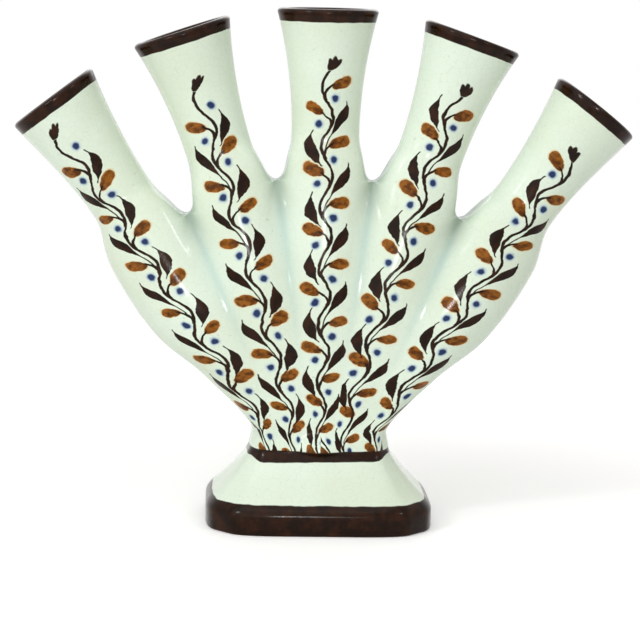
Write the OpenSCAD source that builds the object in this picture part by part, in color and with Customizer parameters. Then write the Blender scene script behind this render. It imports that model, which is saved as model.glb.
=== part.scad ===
// Quintal vase: five conjoined horns on a waisted collar and a canted pedestal foot.
// Millimetres. +Z is up, the front faces -Y, and the origin is the middle of the foot's resting face.

/* [Horns] */
// Distance from the fan's centre to the middle of each mouth
horn_reach = 146; // [136:1:160]
// Depth of the fan's centre below the seat of the horns
fan_drop = 10; // [6:0.5:14]
// Tilt of the two inner horns at the mouth, in degrees
inner_tilt = 19; // [17.5:0.5:20.5]
// Tilt of the two outer horns at the mouth, in degrees
outer_tilt = 37.5; // [35.5:0.5:40]
// Lean of the two inner horns where they leave the collar, in degrees
inner_lean = 12; // [9:0.5:15]
// Lean of the two outer horns where they leave the collar, in degrees
outer_lean = 31; // [27:0.5:35]
// Length over which a horn keeps its lean above the collar
seat_run = 26; // [20:1:34]
// Length over which a horn keeps its tilt below the mouth
mouth_run = 45; // [38:1:52]
// Spacing of the horns where they sit on the collar
horn_pitch = 9.3; // [8.7:0.1:9.9]
// Outer diameter of a horn at the crotches beside the outer horns
root_d = 24.25; // [22.75:0.25:25.75]
// Outer diameter of a horn's neck
neck_d = 19.6; // [18.4:0.2:20.8]
// Outer diameter of a horn's flared mouth
mouth_d = 30.6; // [27:0.2:33]
// Distance from the mouth down to the neck
neck_drop = 38; // [34:0.5:40]
// Distance from the mouth down to the crotches beside the centre horn
inner_crotch_drop = 48; // [45.5:0.5:51]
// Distance from the mouth down to the crotches beside the outer horns
outer_crotch_drop = 50.5; // [47.5:0.5:53.5]
// Length along a horn from its seat to the belly
belly_rise = 51; // [46:1:56]
// Front to back depth of the fan at its belly
belly_depth = 33; // [29:0.5:37]
// How far an outer horn swells beyond its axis at the belly
belly_swell = 16; // [14:0.25:17.5]
// How far the flank of an outer horn stands outside its round neck
neck_swell = 1.5; // [0.5:0.25:2.5]
// Wall of a horn
horn_wall = 3.2; // [2.4:0.1:3.6]
// Double wall where two horns are luted together
septum = 3; // [2:0.2:4]
// Rise of the rounded lip
lip_rise = 1.2; // [0.6:0.1:1.8]

/* [Collar] */
// Width of the waist
waist_w = 46.4; // [44:0.2:49]
// Depth of the waist
waist_depth = 28; // [26:0.5:32]
// Height of the collar between the foot and the horns
collar_h = 7.5; // [6.5:0.5:10]
// Wall of the collar
collar_wall = 3.4; // [2.6:0.1:4]
// Width of a canted corner at the waist
waist_cant_w = 4.4; // [3:0.1:6]
// Depth of a canted corner at the waist
waist_cant_depth = 7; // [5:0.5:9]
// Thickness of the reservoir's floor
floor_t = 3; // [2:0.25:4]

/* [Foot] */
// Width of the foot
foot_w = 75; // [68:1:84]
// Depth of the foot
foot_depth = 57; // [50:1:64]
// Height of the foot
foot_h = 25; // [22:0.5:29]
// Height of the upright plinth at the bottom of the foot
plinth_h = 10; // [8:0.5:12]
// Width of a canted corner at the plinth
foot_cant_w = 11; // [8:0.5:14]
// Depth of a canted corner at the plinth
foot_cant_depth = 11; // [8:0.5:14]
// How far the plinth's rounded upper edge is drawn in
shoulder_w = 2.4; // [1.4:0.2:3]
// Height of the plinth's rounded upper edge
shoulder_h = 4; // [3:0.2:4.2]
// Wall of the foot
foot_wall = 5; // [4.4:0.2:6]

/* [Hidden] */

glaze = "honeydew";
bare_clay = "linen";

// The horns are numbered 0 to 4 from left to right
last_horn = 4;
middle_horn = 2;
seat_z = foot_h + collar_h;
fan_centre = [0, seat_z - fan_drop];
horn_run = horn_reach - fan_drop;
tilts = [-outer_tilt, -inner_tilt, 0, inner_tilt, outer_tilt];
leans = [-outer_lean, -inner_lean, 0, inner_lean, outer_lean];

// Places of the hip from collar to belly, and of the chest from belly to neck
hip_share = 0.6;
chest_share = 0.6;

// Stations along a horn run from 0 at the collar to 1 at the mouth
neck_at = 1 - neck_drop / horn_run;
root_at = 1 - outer_crotch_drop / horn_run;
belly_at = belly_rise / horn_run;
hip_at = hip_share * belly_at;
chest_at = mix(belly_at, neck_at, chest_share);

// Shares of the belly's size at the hip below it and at the chest above it
hip_swell = 0.61;
chest_swell = 1.01;
chest_depth = 0.84;

// How quickly a horn narrows from its root to the neck and flares from there to the mouth
taper_power = 1.5;
flare_power = 1.8;

// The grooves between the horns deepen from the waist to the crotch
waist_groove = 12;
free_groove = 82;
groove_power = 2.4;

// Rings and points that the smooth forms are drawn with
body_rings = 17;
free_rings = 11;
free_spread = 1.4;
bore_rings = 12;
arc_steps = 6;
corner_steps = 4;
foot_rings = 8;
shoulder_rings = 3;

// Form of the foot: its concave flare, its soft corners and the cants of its inner outline
foot_power = 1.25;
corner_soft = 0.28;
cant_inset = 0.5;

// Stations of the outer rings: even up to the crotches, close above them and wider towards the mouth
low_crotch = 1 - max(inner_crotch_drop, outer_crotch_drop) / horn_run;
high_crotch = 1 - min(inner_crotch_drop, outer_crotch_drop) / horn_run;
least_step = 0.003;
stations = concat(
    [for (k = [0:body_rings]) low_crotch * k / body_rings],
    high_crotch > low_crotch + least_step ? [high_crotch] : [],
    [for (k = [1:free_rings]) mix(high_crotch, 1, pow(k / free_rings, free_spread))]
);

// Plain mathematics
function mix(a, b, share) = a + (b - a) * share;
function limit(x) = min(1, max(0, x));
function ease(x) = let (s = limit(x)) s * s * (3 - 2 * s);
function heading(angle) = [sin(angle), cos(angle)];
function unit(v) = v / norm(v);
function bezier(a, b, c, d, t) =
    let (s = 1 - t) s * s * s * a + 3 * s * s * t * b + 3 * s * t * t * c + t * t * t * d;

// Smooth curve through knots, each a place and a value, that starts level
function knot_slope(knots, k) =
    let (low = max(0, k - 1), high = min(len(knots) - 1, k + 1))
    k == 0 ? 0 : (knots[high][1] - knots[low][1]) / (knots[high][0] - knots[low][0]);
function span_of(knots, x, k = 0) =
    k >= len(knots) - 2 || x <= knots[k + 1][0] ? k : span_of(knots, x, k + 1);
function curve(knots, x) =
    let (k = span_of(knots, x), a = knots[k], b = knots[k + 1], w = b[0] - a[0], s = (x - a[0]) / w)
    (1 + 2 * s) * (1 - s) * (1 - s) * a[1] + s * (1 - s) * (1 - s) * w * knot_slope(knots, k)
    + s * s * (3 - 2 * s) * b[1] - s * s * (1 - s) * w * knot_slope(knots, k + 1);

// Axis of a horn in the XZ plane
function seat_point(i) = [(i - middle_horn) * horn_pitch, seat_z];
function mouth_point(i) = fan_centre + horn_reach * heading(tilts[i]);
function axis_point(i, t) =
    let (start = seat_point(i), end = mouth_point(i))
    bezier(start, start + seat_run * heading(leans[i]), end - mouth_run * heading(tilts[i]), end, t);
function axis_heading(i, t) =
    let (step = 0.001, low = max(0, t - step), high = min(1, t + step))
    unit(axis_point(i, high) - axis_point(i, low));

// Radius of a free horn, and half depth of the fan
function tube_r(t) =
    t < neck_at ? mix(neck_d, root_d, pow((neck_at - t) / (neck_at - root_at), taper_power)) / 2
    : mix(neck_d, mouth_d, pow((t - neck_at) / (1 - neck_at), flare_power)) / 2;
depth_knots = [[0, waist_depth / 2], [belly_at, belly_depth / 2], [chest_at, chest_depth * belly_depth / 2],
               [neck_at, neck_d / 2]];
function half_depth(t) = t < neck_at ? curve(depth_knots, t) : tube_r(t);

// Outer flank of an outer horn
swell_knots = [[0, waist_w / 2 - middle_horn * horn_pitch], [hip_at, hip_swell * belly_swell],
               [belly_at, belly_swell], [chest_at, chest_swell * belly_swell],
               [neck_at, neck_d / 2 + neck_swell], [1, mouth_d / 2]];
function outer_flank(t) = curve(swell_knots, t);

// Where two neighbouring horns part, and how wide the saddle between them opens above that
function crotch_at(i, j) =
    1 - (i == middle_horn || j == middle_horn ? inner_crotch_drop : outer_crotch_drop) / horn_run;
function half_spacing(i, j, t) = norm(axis_point(j, t) - axis_point(i, t)) / 2;
function saddle_gap(i, j, t) =
    let (c = crotch_at(i, j), web = half_spacing(i, j, c) - tube_r(c),
         apart = max(0, half_spacing(i, j, t) - tube_r(t) - web))
    sqrt(apart * apart + 2 * web * apart);

// One side of a horn at a station: reach from the axis, groove angle, direction and wall
function is_luted(i, j, t) = j >= 0 && j <= last_horn && t <= crotch_at(i, j);
function side_reach(i, s, t) =
    let (j = i + s)
    j < 0 || j > last_horn ? outer_flank(t)
    : is_luted(i, j, t) ? half_spacing(i, j, t)
    : half_spacing(i, j, t) - saddle_gap(i, j, t);
function side_groove(i, s, t) =
    let (j = i + s)
    is_luted(i, j, t) ? mix(waist_groove, free_groove, pow(t / crotch_at(i, j), groove_power)) : free_groove;
function side_heading(i, s, t) =
    let (j = i + s, ahead = axis_heading(i, t), square = s * [ahead[1], -ahead[0]],
         mate = j < 0 || j > last_horn ? i - s : j,
         across = unit(axis_point(mate, t) - axis_point(i, t)) * (mate == j ? 1 : -1),
         crotch = crotch_at(i, mate))
    unit(mix(across, square, ease((t - crotch) / (neck_at - crotch))));
function side_wall(i, s, t) =
    let (j = i + s)
    j < 0 || j > last_horn ? horn_wall
    : mix(septum / 2, horn_wall, ease((t - crotch_at(i, j)) / (neck_at - crotch_at(i, j))));

// Ring of points round a horn at a station, shrunk by a share of its walls and lifted along the axis
function horn_point(i, s, t, angle, face, shrink, lift) =
    let (reach = side_reach(i, s, t) - shrink * side_wall(i, s, t),
         out = reach * sin(angle) / sin(side_groove(i, s, t)),
         deep = (half_depth(t) - shrink * horn_wall) * cos(angle),
         spot = axis_point(i, t) + lift * axis_heading(i, t) + out * side_heading(i, s, t))
    [spot[0], face * deep, spot[1]];
function half_ring(i, t, face, shrink, lift) = [
    for (k = [-arc_steps:arc_steps])
        let (s = k < 0 ? -1 : 1)
        horn_point(i, s, t, abs(k) / arc_steps * side_groove(i, s, t), face, shrink, lift)
];
function flip(list) = [for (k = [len(list) - 1:-1:0]) list[k]];
function horn_ring(i, t, shrink, lift = 0) =
    concat(half_ring(i, t, -1, shrink, lift), flip(half_ring(i, t, 1, shrink, lift)));

// Closed skin through a loop of rings that have as many points each
module ring_skin(rings) {
    sides = len(rings[0]);
    count = len(rings);
    polyhedron(
        points = [for (ring = rings) each ring],
        faces = [
            for (r = [0:count - 1], p = [0:sides - 1])
                let (next = (r + 1) % count, q = (p + 1) % sides)
                each [[r * sides + p, next * sides + q, r * sides + q],
                      [r * sides + p, next * sides + p, next * sides + q]]
        ]
    );
}

// Outline of a canted rectangle with softened corners
function canted_corners(w, depth, cant_w, cant_depth) =
    let (x = w / 2, y = depth / 2, cx = x - cant_w, cy = y - cant_depth)
    [[-cx, -y], [cx, -y], [x, -cy], [x, cy], [cx, y], [-cx, y], [-x, cy], [-x, -cy]];
function soft_outline(corners) = [
    for (k = [0:len(corners) - 1], n = [0:corner_steps])
        let (count = len(corners), here = corners[k],
             back = mix(here, corners[(k + count - 1) % count], corner_soft),
             ahead = mix(here, corners[(k + 1) % count], corner_soft), s = n / corner_steps)
        (1 - s) * (1 - s) * back + 2 * s * (1 - s) * here + s * s * ahead
];

// Outline at a share of the way from the waist to the foot, drawn in by an inset
function body_outline(share, inset) =
    soft_outline(canted_corners(mix(waist_w, foot_w, share) - 2 * inset,
                                mix(waist_depth, foot_depth, share) - 2 * inset,
                                mix(waist_cant_w, foot_cant_w, share) - cant_inset * inset,
                                mix(waist_cant_depth, foot_cant_depth, share) - cant_inset * inset));
function waist_outline(inset) = body_outline(0, inset);
function plinth_outline(inset) = body_outline(1, inset);
function at_height(outline, z) = [for (p = outline) [p[0], p[1], z]];

// Hollow horn with a flared mouth and a rounded lip
module horn(i) {
    outside = [for (t = stations) horn_ring(i, t, 0)];
    mid_wall = 0.5;
    lip = [horn_ring(i, 1, mid_wall, lip_rise)];
    bore = [for (k = [bore_rings:-1:0]) horn_ring(i, k / bore_rings, 1)];
    color(glaze) ring_skin(concat(outside, lip, bore));
}

// Open collar at the waist, between the foot and the seat of the horns
module waist_collar() {
    color(glaze)
        translate([0, 0, foot_h])
            linear_extrude(collar_h)
                difference() {
                    polygon(waist_outline(0));
                    polygon(waist_outline(collar_wall));
                }
}

// Slab inside the collar that closes the reservoir
module reservoir_floor() {
    color(bare_clay)
        translate([0, 0, foot_h])
            linear_extrude(floor_t)
                polygon(waist_outline(collar_wall));
}

// Hollow foot: concave flare over an upright plinth, open beneath
module pedestal_foot() {
    flare_h = foot_h - plinth_h;
    recess_h = plinth_h - foot_wall;
    plinth_side = [at_height(plinth_outline(0), recess_h)];
    rounding = [
        for (k = [0:shoulder_rings - 1])
            let (rise = k / shoulder_rings)
            at_height(plinth_outline(shoulder_w * rise * rise), plinth_h - shoulder_h * (1 - rise))
    ];
    flare = [
        for (k = [0:foot_rings])
            let (drop = 1 - k / foot_rings)
            at_height(body_outline(pow(drop, foot_power), drop * shoulder_w),
                      plinth_h + flare_h * (1 - drop))
    ];
    hollow = [
        for (k = [foot_rings:-1:0])
            let (drop = 1 - k / foot_rings)
            at_height(body_outline(pow(drop, foot_power), foot_wall),
                      k == foot_rings ? foot_h : recess_h + flare_h * (1 - drop))
    ];
    color(glaze) {
        ring_skin(concat(plinth_side, rounding, flare, hollow));
        linear_extrude(recess_h)
            difference() {
                polygon(plinth_outline(0));
                polygon(plinth_outline(foot_wall));
            }
    }
}

horn(0);  // horn_outer_left
horn(1);  // horn_inner_left
horn(2);  // horn_centre
horn(3);  // horn_inner_right
horn(4);  // horn_outer_right
waist_collar();
reservoir_floor();
pedestal_foot();
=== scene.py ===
"""Looks of the quintal vase: five conjoined tin-glazed horns with painted vines, on a canted foot."""
import math

import bpy
import numpy as np
from mathutils import Matrix, Vector


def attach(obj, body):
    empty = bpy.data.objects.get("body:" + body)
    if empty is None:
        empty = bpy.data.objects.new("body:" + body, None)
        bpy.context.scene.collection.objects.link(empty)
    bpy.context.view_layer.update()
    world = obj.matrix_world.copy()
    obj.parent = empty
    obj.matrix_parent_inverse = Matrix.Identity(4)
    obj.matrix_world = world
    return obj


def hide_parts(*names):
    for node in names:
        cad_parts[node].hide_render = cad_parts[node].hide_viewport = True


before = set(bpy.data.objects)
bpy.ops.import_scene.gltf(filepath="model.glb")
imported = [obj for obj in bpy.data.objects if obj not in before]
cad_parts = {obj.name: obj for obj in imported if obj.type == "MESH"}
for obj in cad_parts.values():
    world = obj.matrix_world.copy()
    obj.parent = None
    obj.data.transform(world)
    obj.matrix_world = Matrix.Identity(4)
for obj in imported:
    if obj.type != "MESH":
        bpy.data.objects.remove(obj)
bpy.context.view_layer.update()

MM = 0.001

# Sizes of the vase in millimetres and angles in degrees, the same as the solids
HORNS = ["horn_outer_left", "horn_inner_left", "horn_centre", "horn_inner_right", "horn_outer_right"]
LAST_HORN = 4
MIDDLE_HORN = 2
HORN_REACH = 146
FAN_DROP = 10
TILTS = [-37.5, -19, 0, 19, 37.5]
LEANS = [-31, -12, 0, 12, 31]
SEAT_RUN = 26
MOUTH_RUN = 45
HORN_PITCH = 9.3
ROOT_D = 24.25
NECK_D = 19.6
MOUTH_D = 30.6
NECK_DROP = 38
INNER_CROTCH_DROP = 48
OUTER_CROTCH_DROP = 50.5
BELLY_RISE = 51
BELLY_DEPTH = 33
BELLY_SWELL = 16
NECK_SWELL = 1.5
HORN_WALL = 3.2
SEPTUM = 3
LIP_RISE = 1.2
WAIST_W = 46.4
WAIST_DEPTH = 28
COLLAR_H = 7.5
COLLAR_WALL = 3.4
WAIST_CANT = (4.4, 7)
FLOOR_T = 3
FOOT_W = 75
FOOT_DEPTH = 57
FOOT_H = 25
PLINTH_H = 10
FOOT_CANT = (11, 11)
SHOULDER_W = 2.4
SHOULDER_H = 4
FOOT_WALL = 5

# Places worked out from these sizes, and the shares and powers of the curves, the same as the solids
SEAT_Z = FOOT_H + COLLAR_H
FAN_CENTRE = np.array([0, SEAT_Z - FAN_DROP])
HORN_RUN = HORN_REACH - FAN_DROP
NECK_AT = 1 - NECK_DROP / HORN_RUN
ROOT_AT = 1 - OUTER_CROTCH_DROP / HORN_RUN
BELLY_AT = BELLY_RISE / HORN_RUN
HIP_SHARE = 0.6
CHEST_SHARE = 0.6
HIP_AT = HIP_SHARE * BELLY_AT
CHEST_AT = BELLY_AT + CHEST_SHARE * (NECK_AT - BELLY_AT)
HIP_SWELL = 0.61
CHEST_SWELL = 1.01
CHEST_DEPTH = 0.84
TAPER_POWER = 1.5
FLARE_POWER = 1.8
FOOT_POWER = 1.25
CORNER_SOFT = 0.28
CANT_INSET = 0.5

# Angles round a horn at which its sides end, in a groove or free; glaze leaves the grooves a little shallower
# than those of the solids
WAIST_GROOVE = 12
CROTCH_GROOVE = 80
FREE_GROOVE = 88
GROOVE_POWER = 3.0

# Glaze softens each groove over this share of a horn's half width, and thins out about the crotch
GROOVE_SOFT = 0.36
SOFT_UNTIL = 0.88
SOFT_GONE = 1.04

# Above a crotch the gap first opens between the horns only and takes up the whole side further up
SADDLE_PINCH = 6.5
SADDLE_RUN = 0.1

# Glaze rounds the foot's lower edge by this much, through these shares of it inwards and upwards
FOOT_EDGE = 0.8
EDGE_STEPS = ((1, 0), (0.3, 0.3), (0, 1))

# Rings of the reservoir's floor from its underside up: share of its outline and how far below its top
DISH = ((1.0, FLOOR_T), (1.0, 0), (0.8, 0.2), (0.3, 0.6))

# Fineness of the meshes; a horn has extra stations from below each crotch to above it
ARC_STEPS = 22
STATIONS = 96
CROTCH_STATIONS = 10
CROTCH_ABOVE = 0.05
CROTCH_BELOW = 0.02
LEAST_STEP = 0.0004
BORE_STATIONS = 40
LIP_STEPS = 8
CORNER_STEPS = 9
FOOT_RINGS = 30
SHOULDER_RINGS = 8
COLLAR_RINGS = 12

# Painted bands: down from the lip, down inside it, over the foot's joint with the collar, and up the plinth
RIM_BAND = 3.1
RIM_INSIDE = 1.2
WAIST_BAND_RISE = 0.5
WAIST_BAND_TOP = FOOT_H + WAIST_BAND_RISE
WAIST_BAND_WIDTH = 3.5
WAIST_BAND_TILT = 0.02
WAIST_BAND_THIN = 1.6
PLINTH_BAND_TOP = 9.9

# The climbing vine, in millimetres on the surface
VINE_PERIOD = 19.3
VINE_SWING = 2.0
VINE_HALF_WIDTH = 7.5
BLANK = 900.0
OFF_VINE = (BLANK, 0, -BLANK, BLANK, BLANK)


def mix(a, b, share):
    return a + (b - a) * share


def ease(x):
    s = np.clip(x, 0, 1)
    return s * s * (3 - 2 * s)


def heading(degrees):
    angle = math.radians(degrees)
    return np.array([math.sin(angle), math.cos(angle)])


def unit(v):
    return v / np.linalg.norm(v, axis=-1, keepdims=True)


def curve(knots, x):
    """Smooth curve through knots, each a place and a value, that starts level."""
    place, value = np.array(knots, float).T
    slope = np.zeros(len(knots))
    for k in range(1, len(knots)):
        low, high = k - 1, min(len(knots) - 1, k + 1)
        slope[k] = (value[high] - value[low]) / (place[high] - place[low])
    k = np.clip(np.searchsorted(place, x, side="left") - 1, 0, len(knots) - 2)
    w = place[k + 1] - place[k]
    s = (x - place[k]) / w
    rise = (1 + 2 * s) * (1 - s) ** 2 * value[k] + s * (1 - s) ** 2 * w * slope[k]
    return rise + s * s * (3 - 2 * s) * value[k + 1] - s * s * (1 - s) * w * slope[k + 1]


# Form of the horns

def axis_point(i, t):
    start = np.array([(i - MIDDLE_HORN) * HORN_PITCH, SEAT_Z])
    end = FAN_CENTRE + HORN_REACH * heading(TILTS[i])
    a, b, c, d = start, start + SEAT_RUN * heading(LEANS[i]), end - MOUTH_RUN * heading(TILTS[i]), end
    t = t[:, None]
    s = 1 - t
    return s ** 3 * a + 3 * s * s * t * b + 3 * s * t * t * c + t ** 3 * d


def axis_heading(i, t):
    step = 0.001
    return unit(axis_point(i, np.minimum(1, t + step)) - axis_point(i, np.maximum(0, t - step)))


def tube_r(t):
    taper = np.clip((NECK_AT - t) / (NECK_AT - ROOT_AT), 0, None) ** TAPER_POWER
    flare = np.clip((t - NECK_AT) / (1 - NECK_AT), 0, None) ** FLARE_POWER
    return np.where(t < NECK_AT, mix(NECK_D, ROOT_D, taper), mix(NECK_D, MOUTH_D, flare)) / 2


def half_depth(t):
    knots = [(0, WAIST_DEPTH / 2), (BELLY_AT, BELLY_DEPTH / 2), (CHEST_AT, CHEST_DEPTH * BELLY_DEPTH / 2),
             (NECK_AT, NECK_D / 2)]
    return np.where(t < NECK_AT, curve(knots, np.minimum(t, NECK_AT)), tube_r(t))


def outer_flank(t):
    return curve([(0, WAIST_W / 2 - MIDDLE_HORN * HORN_PITCH), (HIP_AT, HIP_SWELL * BELLY_SWELL),
                  (BELLY_AT, BELLY_SWELL), (CHEST_AT, CHEST_SWELL * BELLY_SWELL),
                  (NECK_AT, NECK_D / 2 + NECK_SWELL), (1, MOUTH_D / 2)], t)


def crotch_at(i, j):
    drop = INNER_CROTCH_DROP if MIDDLE_HORN in (i, j) else OUTER_CROTCH_DROP
    return 1 - drop / HORN_RUN


def half_spacing(i, j, t):
    return np.linalg.norm(axis_point(j, t) - axis_point(i, t), axis=1) / 2


def has_mate(i, s):
    return 0 <= i + s <= LAST_HORN


def side_reach(i, s, t):
    """How far one side reaches from its axis, to a seam or a free flank, and how far a gap draws it in."""
    if not has_mate(i, s):
        return outer_flank(t), np.zeros_like(t)
    j = i + s
    crotch = np.array([crotch_at(i, j)])
    web = half_spacing(i, j, crotch) - tube_r(crotch)
    spacing = half_spacing(i, j, t)
    apart = np.where(t > crotch, np.maximum(0, spacing - tube_r(t) - web), 0)
    return spacing, np.sqrt(apart * apart + 2 * web * apart)


def side_pinch(i, s, t):
    """Power of the share across a side by which the gap draws it in."""
    if not has_mate(i, s):
        return np.ones_like(t)
    return mix(SADDLE_PINCH, 1, ease((t - crotch_at(i, i + s)) / SADDLE_RUN))


def side_groove(i, s, t):
    """Angle round a horn, in radians, at which its side ends in the groove."""
    if not has_mate(i, s):
        return np.full_like(t, math.radians(FREE_GROOVE))
    crotch = crotch_at(i, i + s)
    luted = mix(WAIST_GROOVE, CROTCH_GROOVE, np.clip(t / crotch, 0, 1) ** GROOVE_POWER)
    free = mix(CROTCH_GROOVE, FREE_GROOVE, ease((t - crotch) / SADDLE_RUN))
    return np.radians(np.where(t <= crotch, luted, free))


def side_softness(i, s, t):
    """Share of the side over which the glaze rounds the groove out."""
    least = 1e-4
    if not has_mate(i, s):
        return np.full_like(t, least)
    share = t / crotch_at(i, i + s)
    return np.maximum(least, GROOVE_SOFT * (1 - ease((share - SOFT_UNTIL) / (SOFT_GONE - SOFT_UNTIL))))


def side_heading(i, s, t):
    ahead = axis_heading(i, t)
    square = s * np.stack([ahead[:, 1], -ahead[:, 0]], axis=1)
    mate = i + s if has_mate(i, s) else i - s
    across = unit(axis_point(mate, t) - axis_point(i, t)) * (1 if has_mate(i, s) else -1)
    crotch = crotch_at(i, mate)
    return unit(mix(across, square, ease((t - crotch) / (NECK_AT - crotch))[:, None]))


def side_wall(i, s, t):
    if not has_mate(i, s):
        return np.full_like(t, HORN_WALL)
    crotch = crotch_at(i, i + s)
    return mix(SEPTUM / 2, HORN_WALL, ease((t - crotch) / (NECK_AT - crotch)))


def soften(u, delta):
    """u itself up to 1 - delta, then levelling out at 1."""
    s = np.clip((u - (1 - delta)) / delta, 0, None)
    return np.where(u < 1 - delta, u, 1 - delta + delta * (s - s * s / 2))


def horn_rings(i, t, shrink, lift):
    """Rings of points round a horn: the front from left to right, then the back from right to left."""
    steps = np.arange(-ARC_STEPS, ARC_STEPS + 1) / ARC_STEPS
    base = axis_point(i, t) + lift[:, None] * axis_heading(i, t)
    depth = half_depth(t) - shrink * HORN_WALL
    front = np.zeros((len(t), len(steps), 3))
    for s in (-1, 1):
        columns = steps * s >= 0
        angle = np.abs(steps[columns])[None, :] * side_groove(i, s, t)[:, None]
        sine = np.sin(side_groove(i, s, t))[:, None]
        u = np.sin(angle) / sine
        reach, gap = side_reach(i, s, t)
        room = (reach - shrink * side_wall(i, s, t))[:, None]
        out = room * u - gap[:, None] * u ** side_pinch(i, s, t)[:, None]
        deep = np.sqrt(np.clip(1 - (soften(u, side_softness(i, s, t)[:, None]) * sine) ** 2, 0, 1))
        spot = base[:, None, :] + out[:, :, None] * side_heading(i, s, t)[:, None, :]
        front[:, columns, 0] = spot[:, :, 0]
        front[:, columns, 1] = -deep * depth[:, None]
        front[:, columns, 2] = spot[:, :, 1]
    back = front[:, ::-1] * np.array([1, -1, 1])
    return np.concatenate([front, back], axis=1)


def horn_stations():
    """Stations up a horn, close together where the crotches open."""
    stations = set(np.linspace(0, 1, STATIONS).round(5))
    for crotch in (crotch_at(0, 1), crotch_at(1, 2)):
        for k in range(CROTCH_STATIONS):
            share = k / (CROTCH_STATIONS - 1)
            stations.add(round(crotch + CROTCH_ABOVE * share ** 2, 5))
            stations.add(round(crotch - CROTCH_BELOW * share, 5))
    ordered = sorted(stations)
    kept = [ordered[0]]
    for t in ordered[1:-1]:
        if min(t - kept[-1], 1 - t) > LEAST_STEP:
            kept.append(t)
    return np.array(kept + [1.0])


# Meshes

def ring_faces(rings):
    """Faces between neighbouring rings, ring by ring and column by column; the last ring joins the first."""
    count, sides = rings.shape[:2]
    r, p = np.meshgrid(np.arange(count), np.arange(sides), indexing="ij")
    r, p = r.ravel(), p.ravel()
    up, on = (r + 1) % count, (p + 1) % sides
    return np.stack([r * sides + p, r * sides + on, up * sides + on, up * sides + p], axis=1)


def ring_mesh(name, rings, values, sharp, vine=None):
    """Closed mesh through a loop of rings, with values at points, creases, and vine places at corners."""
    faces = ring_faces(rings)
    points = rings.reshape(-1, 3)
    mesh = bpy.data.meshes.new(name)
    mesh.from_pydata((points * MM).tolist(), [], faces.tolist())
    for label, data in values.items():
        layer = mesh.attributes.new(label, "FLOAT", "POINT")
        layer.data.foreach_set("value", np.asarray(data, np.float32).ravel())
    if vine is not None:
        layer = mesh.attributes.new("vine", "FLOAT_VECTOR", "CORNER")
        layer.data.foreach_set("vector", vine[..., :3].astype(np.float32).ravel())
        for k, label in ((3, "long_room"), (4, "short_room")):
            layer = mesh.attributes.new(label, "FLOAT", "CORNER")
            layer.data.foreach_set("value", vine[..., k].astype(np.float32).ravel())
    mesh.polygons.foreach_set("use_smooth", np.ones(len(faces), bool))
    ends = np.zeros(len(mesh.edges) * 2, int)
    mesh.edges.foreach_get("vertices", ends)
    ends = ends.reshape(-1, 2)
    creased = sharp.ravel()
    mesh.edges.foreach_set("use_edge_sharp", creased[ends[:, 0]] & creased[ends[:, 1]])
    mesh.update()
    return mesh


def add_piece(name, mesh, material, node):
    piece = bpy.data.objects.new(name, mesh)
    bpy.context.collection.objects.link(piece)
    mesh.materials.append(material)
    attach(piece, "root")
    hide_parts(node)


def arc_from_middle(points):
    """Signed length along each row of points from its middle point."""
    steps = np.linalg.norm(np.diff(points, axis=1), axis=2)
    run = np.concatenate([np.zeros((len(points), 1)), np.cumsum(steps, axis=1)], axis=1)
    return run - run[:, points.shape[1] // 2][:, None]


# Vines on their horns

# How far each vine starts and ends from its horn's middle, towards the fan's ends, the length up it at which
# its stem swings aside, and how far below the mouth it stops
VINE_ROOT = [0.0, 0.0, 0.0, -1.5, 0.0]
VINE_DRIFT = [5.5, 0.5, 0.0, 0.5, 3.0]
VINE_SWING_AT = [85.5, 84.4, 84.7, 80.6, 85.5]
VINE_STOP = [11.0, 19.0, 19.0, 19.0, 19.0]

# On the back a vine ends further out and its stem swings aside further up
BACK_DRIFT = 1.5
BACK_SHIFT = 7.0

# Periods by which the vines lie apart in the pattern, so that no two grow alike
VINE_APART = 40

# Where a horn is narrow, its vine shrinks across to the room there, down to the least scale, and along it by
# a share of that
VINE_SPARE = 0.3
VINE_LEAST = 0.6
VINE_SHORTENS = 0.5

# Glaze pools broadly along each groove and closely in its middle, from some way up the horn, and painted
# shade darkens the web of each crotch; widths are shares of a side, and heights are shares of the horn's
# length
POOL_WIDTHS = (0.33, 0.14)
POOL_FROM = 0.12
POOL_FADE = 0.12
CROTCH_SHADE_WIDTH = 0.3
CROTCH_SHADE_DROP = 0.015
CROTCH_SHADE_HEIGHT = 0.05


def vine_scale(i, t):
    """Scale across a horn's vine."""
    reach_left, gap_left = side_reach(i, -1, t)
    reach_right, gap_right = side_reach(i, 1, t)
    room = np.minimum(reach_left - gap_left, reach_right - gap_right)
    return np.clip((room + VINE_SPARE) / VINE_HALF_WIDTH, VINE_LEAST, 1)


def vine_run(i, t, points):
    """Length of the vine up a horn from the waist band, counted in the vine's own millimetres."""
    steps = np.linalg.norm(np.diff(points, axis=0), axis=1)
    scale = mix(1, vine_scale(i, t), VINE_SHORTENS)
    start = (SEAT_Z - WAIST_BAND_TOP) / scale[0]
    rise = np.cumsum(steps / ((scale[1:] + scale[:-1]) / 2))
    return start + np.concatenate([[0], rise])


def vine_start(number, back):
    """Sign across a vine, which puts its long leaves on the outer side, and where along it the waist lies."""
    sign = np.where(number < MIDDLE_HORN, -1, 1)
    swing = np.array(VINE_SWING_AT)[number] + back * BACK_SHIFT
    return sign, VINE_APART * (2 * number + back + 1) * VINE_PERIOD - swing + (sign < 0) * VINE_PERIOD / 2


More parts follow.
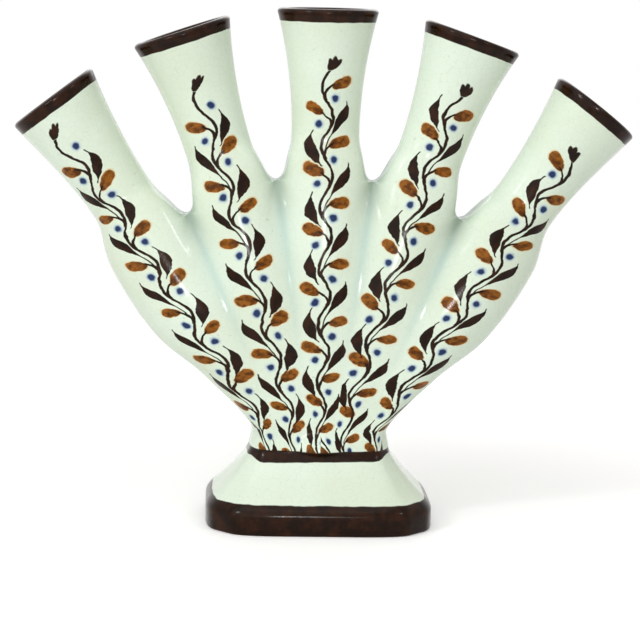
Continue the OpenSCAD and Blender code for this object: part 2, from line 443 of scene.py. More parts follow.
def horn_vine(i, t, rings):
    """Place of each point on the vine: across it, along it, the length left above, and the room beside it."""
    half = rings.shape[1] // 2
    outward = np.sign(i - MIDDLE_HORN)
    place = np.zeros((*rings.shape[:2], len(OFF_VINE)))
    for back, columns in ((0, slice(0, half)), (1, slice(half, 2 * half))):
        points = rings[:, columns]
        run = vine_run(i, t, points[:, half // 2])
        drift = mix(VINE_ROOT[i], VINE_DRIFT[i] + back * BACK_DRIFT, ease(t))
        across = arc_from_middle(points) * (1 - 2 * back) - (outward * drift)[:, None]
        sign, start = vine_start(i, back)
        u = sign * across / vine_scale(i, t)[:, None]
        place[:, columns, 0] = u
        place[:, columns, 1] = (run + start)[:, None]
        place[:, columns, 2] = (run[-1] - VINE_STOP[i] - run)[:, None]
        place[:, columns, 3] = u.max(axis=1, keepdims=True)
        place[:, columns, 4] = -u.min(axis=1, keepdims=True)
    return place


def bell(x, width):
    return np.exp(-(x / width) ** 2)


def horn_pool_and_shade(i, t, rings):
    """How much glaze pools at each point, in the grooves, and how much painted shade darkens the webs of the
    crotches.
    """
    half = rings.shape[1] // 2
    steps = np.arange(-ARC_STEPS, ARC_STEPS + 1)
    pool = np.zeros(rings.shape[:2])
    web = np.zeros(rings.shape[:2])
    for s in (-1, 1):
        if not has_mate(i, s):
            continue
        crotch = crotch_at(i, i + s)
        columns = steps * s >= 0
        off = 1 - np.abs(steps[columns]) / ARC_STEPS
        near = sum(bell(off, width) for width in POOL_WIDTHS) / len(POOL_WIDTHS)
        height = ease((t - POOL_FROM) / (crotch - POOL_FROM)) * (1 - ease((t - crotch) / POOL_FADE))
        # Painted shade on the web just under each crotch, strongest next to the groove
        painted_shade = bell(t - crotch + CROTCH_SHADE_DROP, CROTCH_SHADE_HEIGHT)[:, None] * bell(off, CROTCH_SHADE_WIDTH)
        for spread, share in ((pool, height[:, None] * near), (web, painted_shade)):
            side = spread[:, :half][:, columns]
            spread[:, :half][:, columns] = np.maximum(side, share)
    for spread in (pool, web):
        spread[:, half:] = spread[:, :half][:, ::-1]
    return pool, web


def build_horn(i, material):
    """A horn: its outside from the seat up, over the lip and down the bore."""
    t = horn_stations()
    outside = horn_rings(i, t, 0, np.zeros_like(t))
    turn = np.linspace(0, math.pi, LIP_STEPS + 2)[1:-1]
    lip = np.concatenate([
        horn_rings(i, np.ones(1), (1 - math.cos(a)) / 2, np.array([LIP_RISE * math.sin(a)])) for a in turn
    ])
    bore_t = np.linspace(1, 0, BORE_STATIONS)
    bore = horn_rings(i, bore_t, 1, np.zeros_like(bore_t))
    rings = np.concatenate([outside, lip, bore])
    sides = rings.shape[1]
    half = sides // 2

    place = np.zeros((*rings.shape[:2], len(OFF_VINE)))
    place[:] = OFF_VINE
    place[:len(t)] = horn_vine(i, t, outside)
    vine = place.reshape(-1, len(OFF_VINE))[ring_faces(rings)]
    column = np.tile(np.arange(sides), len(rings))
    vine[(column == half - 1) | (column == sides - 1)] = OFF_VINE
    pool = np.zeros(rings.shape[:2])
    web = np.zeros(rings.shape[:2])
    # web holds how much painted shade lies on the webs of the crotches
    pool[:len(t)], web[:len(t)] = horn_pool_and_shade(i, t, outside)

    below_lip = np.linalg.norm(outside - outside[-1:], axis=2)
    inside_lip = np.linalg.norm(bore - bore[:1], axis=2)
    band = np.concatenate([below_lip - RIM_BAND, np.full((LIP_STEPS, sides), -1.0), inside_lip - RIM_INSIDE])

    sharp = np.zeros(rings.shape[:2], bool)
    sharp[[0, -1]] = True
    for s, columns in ((-1, (0, sides - 1)), (1, (half - 1, half))):
        if has_mate(i, s):
            luted = t <= crotch_at(i, i + s)
            for seam in columns:
                sharp[:len(t), seam] = luted
    mesh = ring_mesh(HORNS[i], rings, {"band": band, "pool": pool, "web": web}, sharp, vine)
    add_piece("glazed_" + HORNS[i], mesh, material, HORNS[i])


# Collar and foot

def canted_corners(w, depth, cant_w, cant_depth):
    x, y = w / 2, depth / 2
    cx, cy = x - cant_w, y - cant_depth
    return np.array([[-cx, -y], [cx, -y], [x, -cy], [x, cy], [cx, y], [-cx, y], [-x, cy], [-x, -cy]])


def soft_outline(corners):
    """Outline through rounded corners."""
    count = len(corners)
    s = np.linspace(0, 1, CORNER_STEPS)[:, None]
    bends = []
    for k, here in enumerate(corners):
        back = mix(here, corners[(k - 1) % count], CORNER_SOFT)
        ahead = mix(here, corners[(k + 1) % count], CORNER_SOFT)
        bends.append((1 - s) ** 2 * back + 2 * s * (1 - s) * here + s * s * ahead)
    return np.concatenate(bends)


def body_outline(share, inset):
    """Outline that is a share of the way from the waist to the foot."""
    return soft_outline(canted_corners(mix(WAIST_W, FOOT_W, share) - 2 * inset,
                                       mix(WAIST_DEPTH, FOOT_DEPTH, share) - 2 * inset,
                                       mix(WAIST_CANT[0], FOOT_CANT[0], share) - CANT_INSET * inset,
                                       mix(WAIST_CANT[1], FOOT_CANT[1], share) - CANT_INSET * inset))


def at_height(outline, z):
    return np.concatenate([outline, np.full((len(outline), 1), z)], axis=1)


def polar(outline, angles):
    """Points of a star-shaped outline at the given angles."""
    angle = np.arctan2(outline[:, 1], outline[:, 0])
    order = np.argsort(angle)
    radius = np.interp(angles, angle[order], np.linalg.norm(outline, axis=1)[order], period=2 * math.pi)
    return radius[:, None] * np.stack([np.cos(angles), np.sin(angles)], axis=1)


def seat_outline():
    """Outline of the five horns where they stand on the collar."""
    start = np.zeros(1)
    front = np.zeros((0, 2))
    for i in range(LAST_HORN + 1):
        ring = horn_rings(i, start, 0, start)[0, :2 * ARC_STEPS + 1, :2]
        front = np.concatenate([front[:-1], ring])
    return np.concatenate([front, front[::-1] * np.array([1, -1])])


def vine_length(i):
    """Length of a horn's vine from the waist band to where it stops."""
    t = horn_stations()
    rings = horn_rings(i, t, 0, np.zeros_like(t))
    return vine_run(i, t, rings[:, ARC_STEPS])[-1] - VINE_STOP[i]


def collar_vine(corners):
    """Vine places at the corners of the collar's faces, with the five vines side by side."""
    middle = corners.mean(axis=1, keepdims=True)
    number = np.clip(np.round(middle[..., 0] / HORN_PITCH) + MIDDLE_HORN, 0, LAST_HORN).astype(int)
    horns = range(LAST_HORN + 1)
    scale = np.array([vine_scale(i, np.zeros(1))[0] for i in horns])[number]
    root = np.sign(number - MIDDLE_HORN) * np.array(VINE_ROOT)[number]
    round_end = np.sign(corners[..., 0]) * (WAIST_DEPTH / 2 - np.abs(corners[..., 1]))
    across = (corners[..., 0] - (number - MIDDLE_HORN) * HORN_PITCH - root + round_end) / scale
    run = (corners[..., 2] - WAIST_BAND_TOP) / mix(1, scale, VINE_SHORTENS)
    sign, start = vine_start(number, (middle[..., 1] > 0).astype(int))
    rooms = [np.broadcast_to((HORN_PITCH / 2 + side * sign * root) / scale, run.shape) for side in (-1, 1)]
    left = np.array([vine_length(i) for i in horns])[number] - run
    return np.stack([sign * across, run + start, left, *rooms], axis=-1)


def build_collar(material):
    """Collar that meets the foot's canted outline below and the horns above, at their lean."""
    high = seat_outline()
    angles = np.arctan2(high[:, 1], high[:, 0])
    low = polar(body_outline(0, 0), angles)
    inner = polar(body_outline(0, COLLAR_WALL), angles)
    roots = HORN_PITCH * np.arange(LAST_HORN - MIDDLE_HORN + 1)
    lean = np.interp(np.abs(high[:, 0]), roots, np.tan(np.radians(LEANS[MIDDLE_HORN:]))) * np.sign(high[:, 0])
    outside = []
    for s in np.linspace(0, 1, COLLAR_RINGS):
        outline = mix(low, high, ease(s))
        outline[:, 0] += COLLAR_H * (s ** 3 - s ** 2) * lean
        outside.append(at_height(outline, mix(FOOT_H, SEAT_Z, s)))
    rings = np.array(outside + [at_height(inner, SEAT_Z), at_height(inner, FOOT_H)])
    band = rings[:, :, 2] - WAIST_BAND_TOP
    band[COLLAR_RINGS:] = BLANK
    vine = collar_vine(rings.reshape(-1, 3)[ring_faces(rings)])
    vine[(COLLAR_RINGS - 1) * len(high):] = OFF_VINE
    sharp = np.zeros(rings.shape[:2], bool)
    sharp[[0, COLLAR_RINGS - 1, COLLAR_RINGS, COLLAR_RINGS + 1]] = True
    mesh = ring_mesh("waist_collar", rings, {"band": band}, sharp, vine)
    add_piece("glazed_waist_collar", mesh, material, "waist_collar")


def build_floor(material):
    """Slightly dished slab inside the collar."""
    outline = body_outline(0, COLLAR_WALL)
    sides = len(outline)
    rings = np.array([at_height(outline * share, FOOT_H + FLOOR_T - sink) for share, sink in DISH])
    points = rings.reshape(-1, 3)
    faces = ring_faces(rings)[:-sides].tolist()
    faces.append(list(range(sides))[::-1])
    faces.append(list(range(len(points) - sides, len(points))))
    mesh = bpy.data.meshes.new("reservoir_floor")
    mesh.from_pydata((points * MM).tolist(), [], faces)
    mesh.update()
    add_piece("glazed_reservoir_floor", mesh, material, "reservoir_floor")


def build_foot(material):
    """Foot: its outside from the resting edge up to the waist, and its hollow back down."""
    flare_h = FOOT_H - PLINTH_H
    outside = [at_height(body_outline(1, FOOT_EDGE * inward), FOOT_EDGE * up) for inward, up in EDGE_STEPS]
    for k in range(SHOULDER_RINGS):
        rise = k / SHOULDER_RINGS
        outside.append(at_height(body_outline(1, SHOULDER_W * rise ** 2), PLINTH_H - SHOULDER_H * (1 - rise)))
    for k in range(FOOT_RINGS + 1):
        drop = 1 - k / FOOT_RINGS
        outside.append(at_height(body_outline(drop ** FOOT_POWER, drop * SHOULDER_W),
                                 PLINTH_H + flare_h * (1 - drop)))
    hollow = []
    for k in range(FOOT_RINGS, -1, -1):
        drop = 1 - k / FOOT_RINGS
        z = FOOT_H if k == FOOT_RINGS else PLINTH_H - FOOT_WALL + flare_h * (1 - drop)
        hollow.append(at_height(body_outline(drop ** FOOT_POWER, FOOT_WALL), z))
    hollow.append(at_height(body_outline(1, FOOT_WALL), 0))
    rings = np.array(outside + hollow)
    x, z = rings[:, :, 0], rings[:, :, 2]
    front_half = WAIST_W / 2 - WAIST_CANT[0]
    thin = WAIST_BAND_THIN * ease((np.abs(x) - front_half) / WAIST_CANT[0])
    waist_low = WAIST_BAND_TOP - WAIST_BAND_WIDTH + WAIST_BAND_TILT * x + thin
    band = np.minimum(waist_low - z, z - PLINTH_BAND_TOP)
    band[len(outside):] = BLANK
    bare = np.zeros(rings.shape[:2])
    bare[[0, -1]] = 1
    sharp = np.zeros(rings.shape[:2], bool)
    sharp[[len(outside) - 1, len(outside), -1]] = True
    mesh = ring_mesh("pedestal_foot", rings, {"band": band, "bare": bare}, sharp)
    add_piece("glazed_pedestal_foot", mesh, material, "pedestal_foot")


# Shader arithmetic: plain sums on a Field make the nodes

class Field:
    def __init__(self, tree, socket):
        self.tree = tree
        self.socket = socket

    def math(self, operation, *others, swap=False):
        node = self.tree.nodes.new("ShaderNodeMath")
        node.operation = operation
        terms = [self, *others]
        if swap:
            terms.reverse()
        for port, term in zip(node.inputs, terms):
            if isinstance(term, Field):
                self.tree.links.new(term.socket, port)
            else:
                port.default_value = term
        return Field(self.tree, node.outputs[0])

    def __add__(self, other):
        return self.math("ADD", other)

    def __sub__(self, other):
        return self.math("SUBTRACT", other)

    def __rsub__(self, other):
        return self.math("SUBTRACT", other, swap=True)

    def __mul__(self, other):
        return self.math("MULTIPLY", other)

    def __rmul__(self, other):
        return self.math("MULTIPLY", other)

    def __truediv__(self, other):
        return self.math("DIVIDE", other)

    def __pow__(self, other):
        return self.math("POWER", other)

    def __abs__(self):
        return self.math("ABSOLUTE")

    def cos(self):
        return self.math("COSINE")

    def sin(self):
        return self.math("SINE")

    def floor(self):
        return self.math("FLOOR")

    def low(self, other):
        return self.math("MINIMUM", other)

    def high(self, other):
        return self.math("MAXIMUM", other)

    def above(self, other):
        return self.math("GREATER_THAN", other)

    def step(self, start, end):
        """Smooth step from 0 at start to 1 at end."""
        node = self.tree.nodes.new("ShaderNodeMapRange")
        node.interpolation_type = "SMOOTHSTEP"
        self.tree.links.new(self.socket, node.inputs["Value"])
        node.inputs["From Min"].default_value = start
        node.inputs["From Max"].default_value = end
        return Field(self.tree, node.outputs["Result"])

    def until(self, start, end):
        """Smooth step from 1 at start to 0 at end."""
        return 1 - self.step(start, end)


def length(a, b):
    return (a * a + b * b) ** 0.5


def chance(cell, seed, low, high):
    """A number from low to high for each cell."""
    node = cell.tree.nodes.new("ShaderNodeTexWhiteNoise")
    node.noise_dimensions = "1D"
    cell.tree.links.new((cell + seed).socket, node.inputs["W"])
    return Field(cell.tree, node.outputs["Value"]) * (high - low) + low


def attribute(tree, name):
    node = tree.nodes.new("ShaderNodeAttribute")
    node.attribute_name = name
    return node


def value_of(tree, name):
    return Field(tree, attribute(tree, name).outputs["Fac"])


def parts(tree, vector):
    """The three parts of a vector."""
    node = tree.nodes.new("ShaderNodeSeparateXYZ")
    tree.links.new(vector, node.inputs[0])
    return [Field(tree, port) for port in node.outputs]


def noise(tree, vector, scale, detail=2.0):
    node = tree.nodes.new("ShaderNodeTexNoise")
    node.inputs["Scale"].default_value = scale
    node.inputs["Detail"].default_value = detail
    tree.links.new(vector, node.inputs["Vector"])
    return Field(tree, node.outputs["Fac"])


def srgb(r, g, b):
    """Linear colour from the red, green and blue of a screen, 0 to 255."""
    linear = [((c / 255 + 0.055) / 1.055) ** 2.4 if c > 10 else c / 255 / 12.92 for c in (r, g, b)]
    return (*linear, 1.0)


def blend(tree, share, below, above):
    """Colour that goes from below to above; either is a colour or a socket."""
    node = tree.nodes.new("ShaderNodeMix")
    node.data_type = "RGBA"
    tree.links.new(share.socket, node.inputs["Factor"])
    for port, colour in ((node.inputs[6], below), (node.inputs[7], above)):
        if isinstance(colour, tuple):
            port.default_value = colour
        else:
            tree.links.new(colour, port)
    return node.outputs[2]


# Colours of the glaze and the paints; of a pair, the darker comes first
GLAZE_PALE = srgb(227, 241, 224)
GLAZE_WARM = srgb(221, 233, 212)
POOL_TINT = srgb(168, 200, 194)
# Painted shade that darkens the webs of the crotches
CROTCH_SHADE_TINT = srgb(142, 152, 134)
FLECK_TINT = srgb(150, 140, 110)
CRAZE_TINT = srgb(150, 150, 130)
BARE_CLAY = srgb(206, 180, 146)
SEPIA = (srgb(27, 11, 2), srgb(50, 25, 8))
OCHRE = (srgb(86, 46, 6), srgb(152, 92, 26))
OCHRE_HALO = srgb(230, 184, 96)
COBALT = srgb(8, 34, 84)
COBALT_HALO = srgb(116, 156, 210)

# Painted vine, in millimetres across and along it

TURN = 2 * math.pi / VINE_PERIOD
STEM_HALF = 0.52
SEAM_CLEAR = 0.65
STROKE_EDGE = (-0.14, 0.1)
LEAF_EDGE = (-0.08, 0.16)
LEAF_THIN = 0.28
LEAF_BELOW = 2.5
LEAF_SPAN = (0.001, 0.999)
LEAF_STARTS = (0.0, 0.03)
LEAF_ENDS = (0.96, 1.0)
BUD_HALF = (3.65, 1.85)
BUD_TAPER = 0.1
BUD_EDGE = (0.9, 1.03)
BUD_HALO = (0.97, 1.2)
BUD_INNER = (-0.9, 0.1)
BUD_MOTTLE = (0.34, 0.76)
DOT_EDGE = (0.8, 1.5)
DOT_HALO = (0.8, 2.2)
STALK_SHORT = 2.6
STALK_ASIDE = 0.2
STALK_END = (-0.2, 0.2)

# Length of vine that has to be left above a bud's place and a dot's, and a distance that hides either
BUD_NEEDS = 4
DOT_NEEDS = 1
UNSEEN = 9

# How far chance moves, bends, widens, tilts and scales the strokes
LEAF_SHIFT = 0.5
LEAF_BEND = 0.8
LEAF_WIDER = 0.5
BUD_TILT = 0.25
BUD_SCALE = (0.9, 1.1)
BUD_SHIFT = (0.3, 0.4)
DOT_SHIFT = (0.6, 0.5)

# Long leaves hang on the outer side of a vine and short ones on the inner side. Places are across from its
# middle line and up from where the stem swings away: a leaf's foot and rise, its rib as a cubic, the powers
# of its taper and its half width, a bud's middle and tilt, its stalk's foot and rise, and a dot's middle
LONG_SIDE = {"seed": 0.37, "room": "long_room",
             "leaf": (-1.1, 16.4), "rib": (-0.6, 1.5, 22.7, -16.6), "taper": (4.6, 2.4), "half": 1.66,
             "bud": (4.4, 1.5), "tilt": 0.2, "stalk": (-4.0, 5.4), "dot": (2.2, -3.5)}
SHORT_SIDE = {"seed": 41.37, "room": "short_room",
              "leaf": (3.4, 12.2), "rib": (1.4, 12.4, -9.5, 0.0), "taper": (2.0, 2.5), "half": 1.8,
              "bud": (4.5, 2.6), "tilt": 0.34, "stalk": (-3.2, 4.9), "dot": (2.6, -2.3)}

# Strength of the dots and of the halos, and how much lighter a bud is outwards and darker at its inner end
DOT_SHARE = 0.96
DOT_HALO_SHARE = 0.6
BUD_HALO_SHARE = 0.5
BUD_LIGHTER = 0.12
BUD_DARKER = 0.2

# The three petals of the bud that ends a vine: angle, reach and half width
PETALS = ((0, 2.5, 1.1), (0.42, 2.3, 1.0), (-0.42, 2.3, 1.0))
PETAL_EDGE = (0.85, 1.1)

# Unsteadiness of the brush: fineness of its two noises, in waves a millimetre, and how far they move it
# across and along; and the fineness of the speckle in the buds
WOBBLE_WAVES = 0.16
WOBBLE = 1.5
SWAY_WAVES = 0.35
SWAY = (0.6, 1.2)
BUD_SPECKLE = 0.5


def stem_line(v):
    return (v * TURN).cos() * -VINE_SWING


def period_of(v, below):
    """Number of a period, which starts that far below where the stem swings away, and the height in it."""
    cell = ((v + below) / VINE_PERIOD).floor()
    return cell, v - cell * VINE_PERIOD


def leaf_paint(u, v, left, room, side):
    """How much of a leaf's brown lies at a place."""
    seed, half = side["seed"], side["half"]
    foot, rise = side["leaf"]
    tail, tip = side["taper"]
    r0, r1, r2, r3 = side["rib"]
    cell, y = period_of(v, LEAF_BELOW)
    grown = (y - foot - chance(cell, seed + 3, -LEAF_SHIFT, LEAF_SHIFT)) / rise
    a = grown.high(LEAF_SPAN[0]).low(LEAF_SPAN[1])
    rib = a * chance(cell, seed + 5, r1 - LEAF_BEND, r1 + LEAF_BEND) + a * a * r2 + a * a * a * r3 + r0
    rib = rib.low(room - SEAM_CLEAR)
    widest = tail / (tail + tip)
    peak = widest ** tail * (1 - widest) ** tip
    swell = a ** tail * (1 - a) ** tip / peak
    leaf_half = (swell * chance(cell, seed, half, half + LEAF_WIDER)).high(LEAF_THIN)
    inside = grown.step(*LEAF_STARTS) * grown.until(*LEAF_ENDS)
    fits = (left + y).above(foot + rise)
    return (leaf_half - abs(u - rib)).step(*LEAF_EDGE) * inside * fits


def bud_paint(u, v, left, room, side):
    """How far out from a bud's middle a place lies, 1 being its edge, its inner end, and its brown stalk."""
    seed, tilt = side["seed"], side["tilt"]
    bud_u, bud_v = side["bud"]
    half_long, half_wide = BUD_HALF
    cell, y = period_of(v, VINE_PERIOD / 2)
    fits = (left + y).above(BUD_NEEDS)
    bud_u = (room - half_long - SEAM_CLEAR).low(bud_u)
    tilt = chance(cell, seed + 7, tilt, tilt + BUD_TILT)
    scale = chance(cell, seed + 9, *BUD_SCALE)
    du = (u - bud_u - chance(cell, seed + 11, -BUD_SHIFT[0], BUD_SHIFT[0])) / scale
    dy = (y - bud_v - chance(cell, seed + 13, -BUD_SHIFT[1], BUD_SHIFT[1])) / scale
    along = du * tilt.cos() + dy * tilt.sin()
    across = dy * tilt.cos() - du * tilt.sin()
    bud = length(along / half_long, across / (along * BUD_TAPER + half_wide)) + (1 - fits) * UNSEEN
    inner_end = (along / half_long).until(*BUD_INNER)

    foot, rise = side["stalk"]
    stem = stem_line(v)
    climb = ((y - foot) / rise).high(0).low(1)
    stalk_u = stem + (bud_u - STALK_SHORT - stem) * climb * climb + STALK_ASIDE
    reach = (y - foot).step(*STALK_END) * (y - foot - rise).until(*STALK_END)
    stalk = (STEM_HALF - abs(u - stalk_u)).step(*STROKE_EDGE) * reach * fits
    return bud, inner_end, stalk


def dot_paint(u, v, left, side):
    """Distance from a dot's middle."""
    seed = side["seed"]
    dot_u, dot_v = side["dot"]
    cell, y = period_of(v, VINE_PERIOD / 2)
    du = u - dot_u - chance(cell, seed + 15, 0, DOT_SHIFT[0])
    dy = y - dot_v - chance(cell, seed + 17, -DOT_SHIFT[1], DOT_SHIFT[1])
    return length(du, dy) + (1 - (left + y).above(DOT_NEEDS)) * UNSEEN


def lobe(u, y, angle, reach, half):
    """One petal of the bud that ends the vine."""
    cosine, sine = math.cos(angle), math.sin(angle)
    along = u * sine + y * cosine
    across = u * cosine - y * sine
    return length((along - reach) / reach, across / half).until(*PETAL_EDGE)


def vine_paint(tree, ground):
    """The ground colour with buds and dots painted over it, and how much of the vine's brown lies there."""
    place = attribute(tree, "vine").outputs["Vector"]
    u, v, left = parts(tree, place)
    wobble = noise(tree, place, WOBBLE_WAVES) - 0.5
    sway = noise(tree, place, SWAY_WAVES) - 0.5
    u = u + wobble * WOBBLE + sway * SWAY[0]
    v = v + sway * SWAY[1]
    left = left - sway * SWAY[1]
    stem_u = stem_line(v)
    brown = (STEM_HALF - abs(u - stem_u)).step(*STROKE_EDGE) * left.above(0)
    for angle, reach, half in PETALS:
        brown = brown.high(lobe(u - stem_u, -1 * left, angle, reach, half))
    colour = ground
    speckle = noise(tree, place, BUD_SPECKLE)
    for sign, shift, side in ((1, 0, LONG_SIDE), (-1, VINE_PERIOD / 2, SHORT_SIDE)):
        room = value_of(tree, side["room"])
        across, along = u * sign, v + shift
        bud, inner_end, stalk = bud_paint(across, along, left, room, side)
        dot = dot_paint(across, along, left, side)
        brown = brown.high(leaf_paint(across, along, left, room, side)).high(stalk)
        colour = blend(tree, dot.until(*DOT_HALO) * DOT_HALO_SHARE, colour, COBALT_HALO)
        colour = blend(tree, dot.until(*DOT_EDGE) * DOT_SHARE, colour, COBALT)
        colour = blend(tree, bud.until(*BUD_HALO) * BUD_HALO_SHARE, colour, OCHRE_HALO)
        mottle = speckle + bud * BUD_LIGHTER - inner_end * BUD_DARKER
        body = blend(tree, mottle.step(*BUD_MOTTLE), *OCHRE)
        colour = blend(tree, bud.until(*BUD_EDGE), colour, body)
    return colour, brown


# Glaze

# Fineness of its noises, in waves a metre
CLOUDS = 28
POOL_CLOUDS = 90
FLECKS = 900
CRACKS = 420
BAND_WAVES = 160
STREAKS = 260
PAINT_GRAIN = 1400
GLAZE_WAVES = 60
PAINT_RELIEF = 1800

# Ranges over which a noise, a crack, a band's edge in millimetres or the bare clay sets in
CLOUD_RANGE = (0.35, 0.7)
FLECK_RANGE = (0.72, 0.8)
CRACK_RANGE = (0.0, 0.05)
BAND_EDGE = (-0.12, 0.16)
STREAK_RANGE = (0.35, 0.75)
CLAY_RANGE = (0.3, 0.7)

# Shares of tint in pools, of painted shade on the crotch webs and of tint in flecks and cracks, how clouds
# thin a pool, and how far a band's edge strays
POOL_SHARE = 0.64
POOL_THIN = 0.6
POOL_VARIES = 0.8
CROTCH_SHADE_SHARE = 0.62
FLECK_SHARE = 0.25
CRAZE_SHARE = 0.09
BAND_STRAYS = 0.7

# Roughness of the glaze, what the brown paint's grain and the bare clay add to it, its gloss and clear coat
GLAZE_ROUGH = 0.13
PAINT_ROUGH = 0.08
CLAY_ROUGH = 0.6
GLAZE_SPECULAR = 0.11
GLAZE_COAT = 0.03
COAT_ROUGH = 0.08

# Relief: heights of the glaze's waves, of the paint and its grit and of the cracks, and their scale in metres
WAVE_HEIGHT = 0.9
PAINT_HEIGHT = 0.05
GRIT_HEIGHT = 0.1
CRACK_DEPTH = 0.02
BUMP_STRENGTH = 0.35
BUMP_DISTANCE = 0.0004


def glaze_material(name, painted):
    """Pale tin glaze, with pools in the grooves, painted shade on the crotch webs, crazing, specks, brown
    bands and the painted vine.
    """
    material = bpy.data.materials.new(name)
    material.use_nodes = True
    tree = material.node_tree
    shader = tree.nodes["Principled BSDF"]
    spot = tree.nodes.new("ShaderNodeTexCoord").outputs["Object"]
    pool, web, band = (value_of(tree, label) for label in ("pool", "web", "band"))

    ground = blend(tree, noise(tree, spot, CLOUDS, 3).step(*CLOUD_RANGE), GLAZE_PALE, GLAZE_WARM)
    pool = (pool * (noise(tree, spot, POOL_CLOUDS) * POOL_VARIES + POOL_THIN)).low(1)
    ground = blend(tree, pool * POOL_SHARE, ground, POOL_TINT)
    # Painted shade darkens the webs of the crotches
    ground = blend(tree, web * CROTCH_SHADE_SHARE, ground, CROTCH_SHADE_TINT)
    fleck = noise(tree, spot, FLECKS, 1).step(*FLECK_RANGE)
    ground = blend(tree, fleck * FLECK_SHARE, ground, FLECK_TINT)
    cracks = tree.nodes.new("ShaderNodeTexVoronoi")
    cracks.feature = "DISTANCE_TO_EDGE"
    cracks.inputs["Scale"].default_value = CRACKS
    tree.links.new(spot, cracks.inputs["Vector"])
    craze = Field(tree, cracks.outputs["Distance"]).until(*CRACK_RANGE)
    colour = blend(tree, craze * CRAZE_SHARE, ground, CRAZE_TINT)

    brown = (band + (noise(tree, spot, BAND_WAVES) - 0.5) * BAND_STRAYS).until(*BAND_EDGE)
    if painted:
        colour, vine = vine_paint(tree, colour)
        brown = vine.high(brown)
    sepia = blend(tree, noise(tree, spot, STREAKS, 3).step(*STREAK_RANGE), *SEPIA)
    colour = blend(tree, brown, colour, sepia)
    bare = value_of(tree, "bare").step(*CLAY_RANGE)
    colour = blend(tree, bare, colour, BARE_CLAY)
    tree.links.new(colour, shader.inputs["Base Color"])

    rough = brown * (noise(tree, spot, PAINT_GRAIN) * PAINT_ROUGH) + bare * CLAY_ROUGH + GLAZE_ROUGH
    tree.links.new(rough.socket, shader.inputs["Roughness"])
    shader.inputs["Specular IOR Level"].default_value = GLAZE_SPECULAR
    shader.inputs["Coat Weight"].default_value = GLAZE_COAT
    shader.inputs["Coat Roughness"].default_value = COAT_ROUGH

    paint = brown * (noise(tree, spot, PAINT_RELIEF) * GRIT_HEIGHT + PAINT_HEIGHT)
    relief = noise(tree, spot, GLAZE_WAVES) * WAVE_HEIGHT + paint - craze * CRACK_DEPTH
    bump = tree.nodes.new("ShaderNodeBump")
    bump.inputs["Strength"].default_value = BUMP_STRENGTH
    bump.inputs["Distance"].default_value = BUMP_DISTANCE
    tree.links.new(relief.socket, bump.inputs["Height"])
    tree.links.new(bump.outputs["Normal"], shader.inputs["Normal"])
    return material


# Camera, lamps and stage, in degrees and metres; the picture's scale is at the camera's target

CAMERA_AZIMUTH = -3.0
CAMERA_ELEVATION = 9.0
CAMERA_DISTANCE = 0.760
CAMERA_ROLL = 1.3
CAMERA_TARGET = Vector((-0.0004, 0, 0.067))
PIXELS = 640
PIXELS_PER_MM = 3.01
SENSOR = 36.0
CAMERA_NEAR = 0.01

# Each lamp's azimuth, elevation, width, height and watts
LAMP_DISTANCE = 0.9
LAMP_TARGET = Vector((0, 0, 0.09))
LAMPS = {
    "left_soft": (-36, 32, 1.2, 1.2, 3.2),
    "left_box": (-48, 32, 0.1, 0.21, 1.5),
    "right_box": (48, 36, 0.043, 0.085, 0.5),
    "front_box": (0, 8, 0.05, 0.078, 1.3),
    "top_soft": (-10, 76, 0.8, 0.8, 1.6),
    "back_soft": (170, 35, 0.7, 0.7, 2.2),
}

# The floor glows to the eye, less near the object, so that it reads white and keeps the shadow, and the world
# is white to the eye and lights the object less
FLOOR_HALF = 0.42
FLOOR_TINT = (0.9, 0.9, 0.9, 1)
FLOOR_ROUGH = 0.8
FLOOR_SPECULAR = 0.1
GLOW_NEAR = 0.28
GLOW_FAR = 0.6
GLOW_RISES = (0.09, 0.34)
WORLD_LIGHT = 0.32
WORLD_TINT = (1.0, 0.97, 0.92, 1)
WHITE = (1, 1, 1, 1)


def spot_round(azimuth, elevation, distance, target):
    """Point round a target; azimuth 0 is in front, towards -Y, and 90 is at +X."""
    a, e = math.radians(azimuth), math.radians(elevation)
    way = Vector((math.sin(a) * math.cos(e), -math.cos(a) * math.cos(e), math.sin(e)))
    return target + way * distance


def look(obj, target, roll=0.0):
    turn = (target - obj.location).to_track_quat("-Z", "Y").to_matrix()
    obj.rotation_euler = (turn @ Matrix.Rotation(math.radians(roll), 3, "Z")).to_euler()


def build_camera():
    data = bpy.data.cameras.new("camera")
    data.sensor_width = SENSOR
    data.lens = PIXELS_PER_MM / MM * CAMERA_DISTANCE * SENSOR / PIXELS
    data.clip_start = CAMERA_NEAR
    camera = bpy.data.objects.new("camera", data)
    bpy.context.collection.objects.link(camera)
    camera.location = spot_round(CAMERA_AZIMUTH, CAMERA_ELEVATION, CAMERA_DISTANCE, CAMERA_TARGET)
    look(camera, CAMERA_TARGET, CAMERA_ROLL)
    bpy.context.scene.camera = camera


def build_light(name, azimuth, elevation, width, height, watts):
    data = bpy.data.lights.new(name, "AREA")
    data.shape = "RECTANGLE"
    data.size = width
    data.size_y = height
    data.energy = watts
    lamp = bpy.data.objects.new(name, data)
    bpy.context.collection.objects.link(lamp)
    lamp.location = spot_round(azimuth, elevation, LAMP_DISTANCE, LAMP_TARGET)
    look(lamp, LAMP_TARGET)


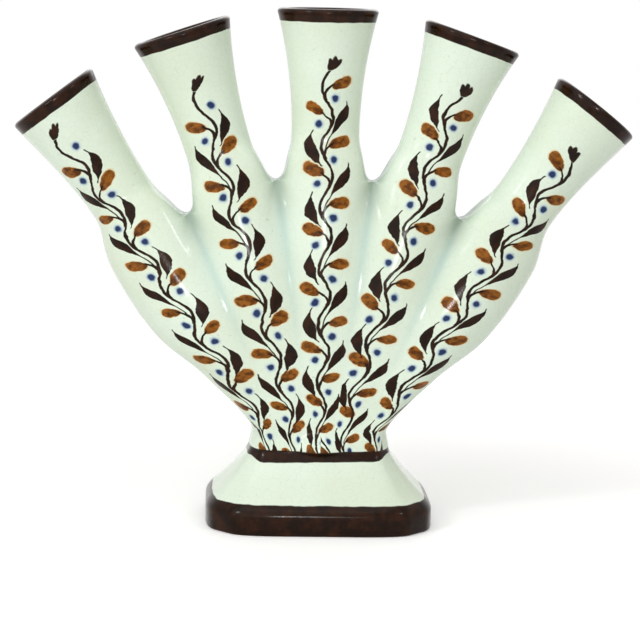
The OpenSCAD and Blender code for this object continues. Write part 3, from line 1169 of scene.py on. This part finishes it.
def seen(tree):
    """1 for rays that show a surface, straight, in a gloss or through glass, and 0 for those that light."""
    path = tree.nodes.new("ShaderNodeLightPath")
    rays = ("Camera", "Glossy", "Transmission")
    eye, gloss, glass = (Field(tree, path.outputs[f"Is {ray} Ray"]) for ray in rays)
    return (eye + gloss + glass).low(1)


def build_stage():
    mesh = bpy.data.meshes.new("floor")
    corners = [(x * FLOOR_HALF, y * FLOOR_HALF, 0) for x, y in ((-1, -1), (1, -1), (1, 1), (-1, 1))]
    mesh.from_pydata(corners, [], [(0, 1, 2, 3)])
    floor = bpy.data.objects.new("floor", mesh)
    bpy.context.collection.objects.link(floor)
    material = bpy.data.materials.new("pale_floor")
    material.use_nodes = True
    tree = material.node_tree
    shader = tree.nodes["Principled BSDF"]
    shader.inputs["Base Color"].default_value = FLOOR_TINT
    shader.inputs["Roughness"].default_value = FLOOR_ROUGH
    shader.inputs["Specular IOR Level"].default_value = FLOOR_SPECULAR
    shader.inputs["Emission Color"].default_value = WHITE
    x, y, _ = parts(tree, tree.nodes.new("ShaderNodeTexCoord").outputs["Object"])
    far = length(x, y).step(*GLOW_RISES)
    glow = seen(tree) * (far * (GLOW_FAR - GLOW_NEAR) + GLOW_NEAR)
    tree.links.new(glow.socket, shader.inputs["Emission Strength"])
    mesh.materials.append(material)


def build_world():
    world = bpy.data.worlds.new("studio")
    bpy.context.scene.world = world
    world.use_nodes = True
    tree = world.node_tree
    back = tree.nodes["Background"]
    shown = seen(tree)
    tree.links.new(blend(tree, shown, WORLD_TINT, WHITE), back.inputs["Color"])
    strength = shown * (1 - WORLD_LIGHT) + WORLD_LIGHT
    tree.links.new(strength.socket, back.inputs["Strength"])


def main():
    painted = glaze_material("painted_tin_glaze", True)
    plain = glaze_material("plain_tin_glaze", False)
    for i in range(LAST_HORN + 1):
        build_horn(i, painted)
    build_collar(painted)
    build_floor(plain)
    build_foot(plain)
    build_stage()
    build_world()
    for name, lamp in LAMPS.items():
        build_light(name, *lamp)
    build_camera()
    bpy.context.scene.view_settings.view_transform = "Standard"


main()
